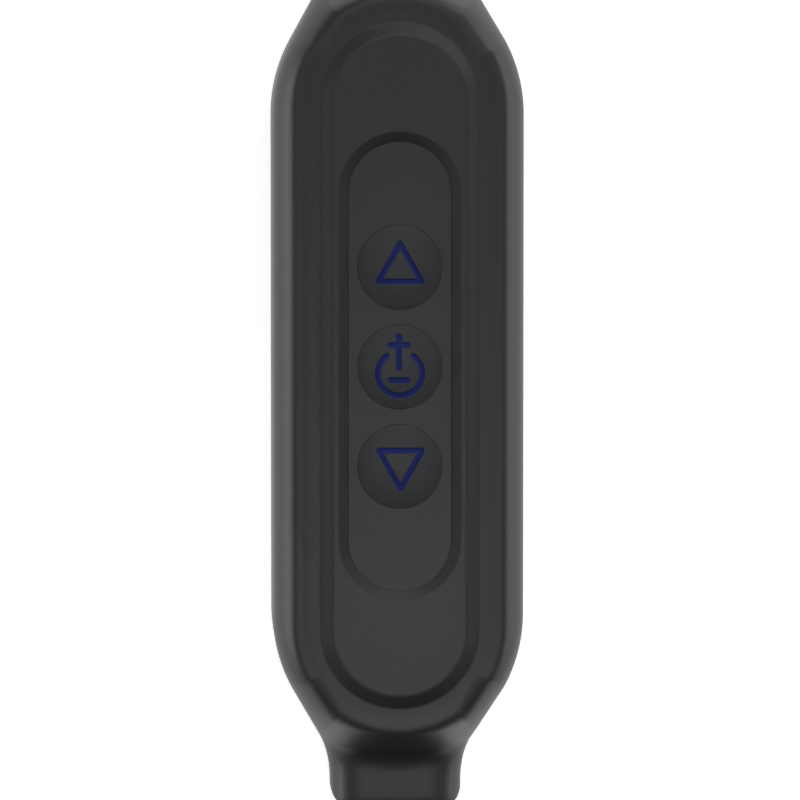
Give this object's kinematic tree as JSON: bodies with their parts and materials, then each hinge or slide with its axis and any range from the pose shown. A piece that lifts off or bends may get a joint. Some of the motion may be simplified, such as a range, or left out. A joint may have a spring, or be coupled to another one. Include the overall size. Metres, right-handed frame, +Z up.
{
  "type": "neckband earphones",
  "caption": "Wireless neckband earphones: slim silicone band, a control pod with domed keys, a battery pod, and in-ear buds held by magnets at the tail ends.",
  "frame": {"origin": "on the table under the middle of the whole outline, with the earphones lying flat and the keys up", "axes": "+Z up out of the keys, +Y towards the nape of the band, +X towards the wearer's left arm, which has the keys"},
  "size_m": [0.142, 0.1878, 0.0121],
  "materials": {
    "band_silicone": "fine matt, soft to touch",
    "pod_silicone": "fine matt, soft to touch",
    "plate_plastic": "smooth matt",
    "panel_plastic": "smooth matt",
    "key_plastic": "smooth matt, marks sunk and filled with dark blue",
    "casing_plastic": "fine texture",
    "spring_steel": "drawn wire",
    "harness_jacket": "smooth jacket",
    "crimp_metal": "pressed",
    "screw_steel": "blackened",
    "gland_rubber": "matt",
    "magnet_nickel": "plated",
    "bud_plastic": "smooth matt",
    "driver_metal": "plated frame",
    "diaphragm_film": "thin clear film",
    "mesh_steel": "woven",
    "tip_silicone": "smooth, slightly glossy",
    "key_web_silicone": "smooth",
    "plunger_plastic": "smooth",
    "switch_metal": "pressed",
    "board_laminate": "solder resist",
    "shield_metal": "pressed",
    "port_steel": "drawn",
    "cover_rubber": "fine matt",
    "motor_steel": "pressed",
    "microphone_can": "gold plated",
    "cell_foil": "foil pouch",
    "foam_pad": "open foam"
  },
  "bodies": {
    "band": {"nape_sleeve": "band_silicone", "memory_wire_nape": "spring_steel", "band_harness_nape": "harness_jacket", "flex_sleeve_left": "band_silicone", "flex_sleeve_right": "band_silicone"},
    "left_arm": {"arm_sleeve_left": "band_silicone", "memory_wire_left": "spring_steel", "band_harness_left": "harness_jacket", "wire_anchor_left": "crimp_metal", "pod_skin_left": "pod_silicone", "rear_shell_left": "casing_plastic", "front_frame_left": "casing_plastic", "face_plate_left": "plate_plastic", "case_screws_left": "screw_steel", "cable_gland_left": "gland_rubber", "dock_magnet_left": "magnet_nickel", "key_panel": "panel_plastic", "key_web": "key_web_silicone", "tact_switches": "switch_metal", "main_board": "board_laminate", "radio_module": "shield_metal", "usb_c_receptacle": "port_steel", "microphone": "microphone_can", "vibration_motor": "motor_steel"},
    "right_arm": {"arm_sleeve_right": "band_silicone", "memory_wire_right": "spring_steel", "band_harness_right": "harness_jacket", "wire_anchor_right": "crimp_metal", "pod_skin_right": "pod_silicone", "rear_shell_right": "casing_plastic", "front_frame_right": "casing_plastic", "face_plate_right": "plate_plastic", "case_screws_right": "screw_steel", "cable_gland_right": "gland_rubber", "dock_magnet_right": "magnet_nickel", "battery_cell": "cell_foil", "battery_foam": "foam_pad", "protection_board": "board_laminate"},
    "volume_up_key": {"volume_up_button": "key_plastic", "volume_up_plunger": "plunger_plastic"},
    "power_key": {"power_button": "key_plastic", "power_plunger": "plunger_plastic"},
    "volume_down_key": {"volume_down_button": "key_plastic", "volume_down_plunger": "plunger_plastic"},
    "charging_cover": {"port_cover": "cover_rubber"},
    "left_bud": {"bud_cap_left": "bud_plastic", "bud_housing_left": "bud_plastic", "bud_driver_left": "driver_metal", "bud_diaphragm_left": "diaphragm_film", "bud_magnet_left": "magnet_nickel", "nozzle_mesh_left": "mesh_steel", "ear_tip_left": "tip_silicone"},
    "right_bud": {"bud_cap_right": "bud_plastic", "bud_housing_right": "bud_plastic", "bud_driver_right": "driver_metal", "bud_diaphragm_right": "diaphragm_film", "bud_magnet_right": "magnet_nickel", "nozzle_mesh_right": "mesh_steel", "ear_tip_right": "tip_silicone"}
  },
  "joints": [
    {"name": "left_arm_flex", "type": "hinge", "parent": "band", "child": "left_arm", "pos_m": [0.062, 0.02113, 0.0025], "axis": [0, 0, 1], "range_deg": [-12, 25], "stiffness_Nm_per_rad": 0.43, "deforming": ["flex_sleeve_left"]},
    {"name": "right_arm_flex", "type": "hinge", "parent": "band", "child": "right_arm", "pos_m": [-0.062, 0.02113, 0.0025], "axis": [0, 0, -1], "range_deg": [-12, 25], "stiffness_Nm_per_rad": 0.43, "deforming": ["flex_sleeve_right"]},
    {"name": "volume_up_press", "type": "slide", "parent": "left_arm", "child": "volume_up_key", "axis": [0, 0, -1], "range_m": [0, 0.00025], "stiffness_N_per_m": 4000},
    {"name": "power_press", "type": "slide", "parent": "left_arm", "child": "power_key", "axis": [0, 0, -1], "range_m": [0, 0.00025], "stiffness_N_per_m": 4000},
    {"name": "volume_down_press", "type": "slide", "parent": "left_arm", "child": "volume_down_key", "axis": [0, 0, -1], "range_m": [0, 0.00025], "stiffness_N_per_m": 4000},
    {"name": "charging_cover_hinge", "type": "hinge", "parent": "left_arm", "child": "charging_cover", "pos_m": [0.071, -0.03746, 0.0038], "axis": [0, 0, 1], "range_deg": [0, 100]},
    {"name": "left_bud_pull", "type": "slide", "parent": "left_arm", "child": "left_bud", "axis": [0, -1, 0], "range_m": [0, 0.03]},
    {"name": "right_bud_pull", "type": "slide", "parent": "right_arm", "child": "right_bud", "axis": [0, -1, 0], "range_m": [0, 0.03]}
  ]
}
